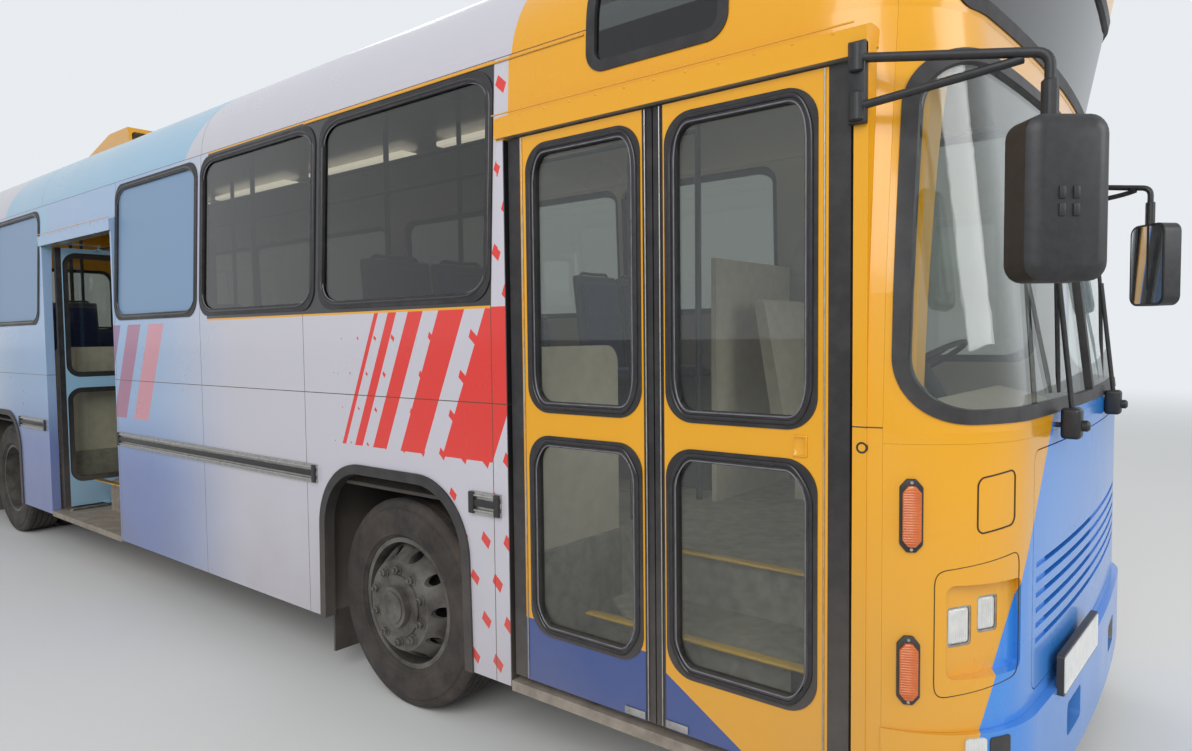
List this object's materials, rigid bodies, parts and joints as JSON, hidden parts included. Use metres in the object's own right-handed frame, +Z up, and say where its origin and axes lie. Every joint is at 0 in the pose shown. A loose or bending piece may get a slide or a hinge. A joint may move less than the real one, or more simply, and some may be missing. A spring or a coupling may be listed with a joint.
{
  "type": "city bus",
  "caption": "Two-axle high-floor city bus with two inward-gliding double doors, steered front wheels and twin rear wheels.",
  "frame": {"origin": "on the ground, under the middle of the body's length and width", "axes": "+X to the front, +Y to the left, +Z up"},
  "size_m": [11.6898, 2.6328, 3.3799],
  "materials": {
    "body_paint": "gloss paint",
    "roof_paint": "gloss paint",
    "door_paint": "gloss paint",
    "glass": "tinted",
    "display_glass": "dark",
    "rubber": "matt",
    "tyre": "matt",
    "wheel_steel": "silver paint",
    "aluminium": "anodised",
    "chassis_steel": "chassis black",
    "floor_covering": "ribbed vinyl",
    "seat_plastic": "moulded",
    "trim_plastic": "grained",
    "panel_plastic": "laminate",
    "lamp_lens": "clear",
    "amber_lens": "amber",
    "engine_iron": "cast"
  },
  "bodies": {
    "root": {"side_wall_right": "body_paint", "side_wall_left": "body_paint", "roof": "roof_paint", "front_dome": "body_paint", "front_mask": "body_paint", "front_panel": "body_paint", "rear_wall": "body_paint", "front_bumper": "body_paint", "rear_bumper": "body_paint", "windscreen": "glass", "saloon_windows": "glass", "display_panes": "display_glass", "window_rubbers": "rubber", "lamp_housings": "trim_plastic", "headlamps": "lamp_lens", "signal_lamps": "amber_lens", "floor": "floor_covering", "step_wells": "floor_covering", "wheel_housings": "panel_plastic", "arch_lips": "rubber", "rub_rails": "aluminium", "underframe": "chassis_steel", "engine": "engine_iron", "front_axle": "chassis_steel", "rear_axle": "chassis_steel", "air_springs": "rubber", "seats": "seat_plastic", "handrails": "aluminium", "partitions": "panel_plastic", "driver_place": "trim_plastic", "steering_wheel": "trim_plastic", "mirrors": "trim_plastic", "wipers": "trim_plastic", "roof_vents": "body_paint"},
    "knuckle_right": {"knuckle_right": "chassis_steel"},
    "front_wheel_right": {"front_tyre_right": "tyre", "front_rim_right": "wheel_steel"},
    "rear_wheels_right": {"rear_tyres_right": "tyre", "rear_rims_right": "wheel_steel"},
    "knuckle_left": {"knuckle_left": "chassis_steel"},
    "front_wheel_left": {"front_tyre_left": "tyre", "front_rim_left": "wheel_steel"},
    "rear_wheels_left": {"rear_tyres_left": "tyre", "rear_rims_left": "wheel_steel"},
    "front_arms_rear": {"front_door_arms_rear": "chassis_steel"},
    "front_leaf_rear": {"front_door_leaf_rear": "door_paint", "front_door_glass_rear": "glass", "front_door_rubber_rear": "rubber"},
    "front_arms_front": {"front_door_arms_front": "chassis_steel"},
    "front_leaf_front": {"front_door_leaf_front": "door_paint", "front_door_glass_front": "glass", "front_door_rubber_front": "rubber"},
    "mid_arms_rear": {"mid_door_arms_rear": "chassis_steel"},
    "mid_leaf_rear": {"mid_door_leaf_rear": "door_paint", "mid_door_glass_rear": "glass", "mid_door_rubber_rear": "rubber"},
    "mid_arms_front": {"mid_door_arms_front": "chassis_steel"},
    "mid_leaf_front": {"mid_door_leaf_front": "door_paint", "mid_door_glass_front": "glass", "mid_door_rubber_front": "rubber"}
  },
  "joints": [
    {"name": "steer_right", "type": "hinge", "parent": "root", "child": "knuckle_right", "pos_m": [3.24, -0.9, 0.48], "axis": [0, 0, 1], "range_deg": [-40, 40]},
    {"name": "front_wheel_right_spin", "type": "hinge", "parent": "knuckle_right", "child": "front_wheel_right", "pos_m": [3.24, -1.042, 0.48], "axis": [0, 1, 0], "continuous": true},
    {"name": "rear_wheels_right_spin", "type": "hinge", "parent": "root", "child": "rear_wheels_right", "pos_m": [-2.36, -0.8925, 0.48], "axis": [0, 1, 0], "continuous": true},
    {"name": "steer_left", "type": "hinge", "parent": "root", "child": "knuckle_left", "pos_m": [3.24, 0.9, 0.48], "axis": [0, 0, 1], "range_deg": [-40, 40]},
    {"name": "front_wheel_left_spin", "type": "hinge", "parent": "knuckle_left", "child": "front_wheel_left", "pos_m": [3.24, 1.042, 0.48], "axis": [0, 1, 0], "continuous": true},
    {"name": "rear_wheels_left_spin", "type": "hinge", "parent": "root", "child": "rear_wheels_left", "pos_m": [-2.36, 0.8925, 0.48], "axis": [0, 1, 0], "continuous": true},
    {"name": "front_arms_rear_turn", "type": "hinge", "parent": "root", "child": "front_arms_rear", "pos_m": [4.132, -1.15, 1.4], "axis": [0, 0, 1], "range_deg": [0, 90]},
    {"name": "front_leaf_rear_turn", "type": "hinge", "parent": "front_arms_rear", "child": "front_leaf_rear", "pos_m": [4.3935, -1.15, 1.4], "axis": [0, 0, -1], "range_deg": [0, 180]},
    {"name": "front_arms_front_turn", "type": "hinge", "parent": "root", "child": "front_arms_front", "pos_m": [5.243, -1.15, 1.4], "axis": [0, 0, -1], "range_deg": [0, 90]},
    {"name": "front_leaf_front_turn", "type": "hinge", "parent": "front_arms_front", "child": "front_leaf_front", "pos_m": [4.9815, -1.15, 1.4], "axis": [0, 0, 1], "range_deg": [0, 180]},
    {"name": "mid_arms_rear_turn", "type": "hinge", "parent": "root", "child": "mid_arms_rear", "pos_m": [-1.008, -1.15, 1.4], "axis": [0, 0, -1], "range_deg": [0, 90]},
    {"name": "mid_leaf_rear_turn", "type": "hinge", "parent": "mid_arms_rear", "child": "mid_leaf_rear", "pos_m": [-1.008, -0.8885, 1.4], "axis": [0, 0, 1], "range_deg": [0, 180]},
    {"name": "mid_arms_front_turn", "type": "hinge", "parent": "root", "child": "mid_arms_front", "pos_m": [0.103, -1.15, 1.4], "axis": [0, 0, 1], "range_deg": [0, 90]},
    {"name": "mid_leaf_front_turn", "type": "hinge", "parent": "mid_arms_front", "child": "mid_leaf_front", "pos_m": [0.103, -0.8885, 1.4], "axis": [0, 0, -1], "range_deg": [0, 180]}
  ],
  "couplings": [
    {"joint": "steer_right", "follows": "steer_left", "ratio": 1},
    {"joint": "front_leaf_rear_turn", "follows": "front_arms_rear_turn", "ratio": 2},
    {"joint": "front_arms_front_turn", "follows": "front_arms_rear_turn", "ratio": 1},
    {"joint": "front_leaf_front_turn", "follows": "front_arms_rear_turn", "ratio": 2},
    {"joint": "mid_leaf_rear_turn", "follows": "mid_arms_rear_turn", "ratio": 2},
    {"joint": "mid_arms_front_turn", "follows": "mid_arms_rear_turn", "ratio": 1},
    {"joint": "mid_leaf_front_turn", "follows": "mid_arms_rear_turn", "ratio": 2}
  ]
}
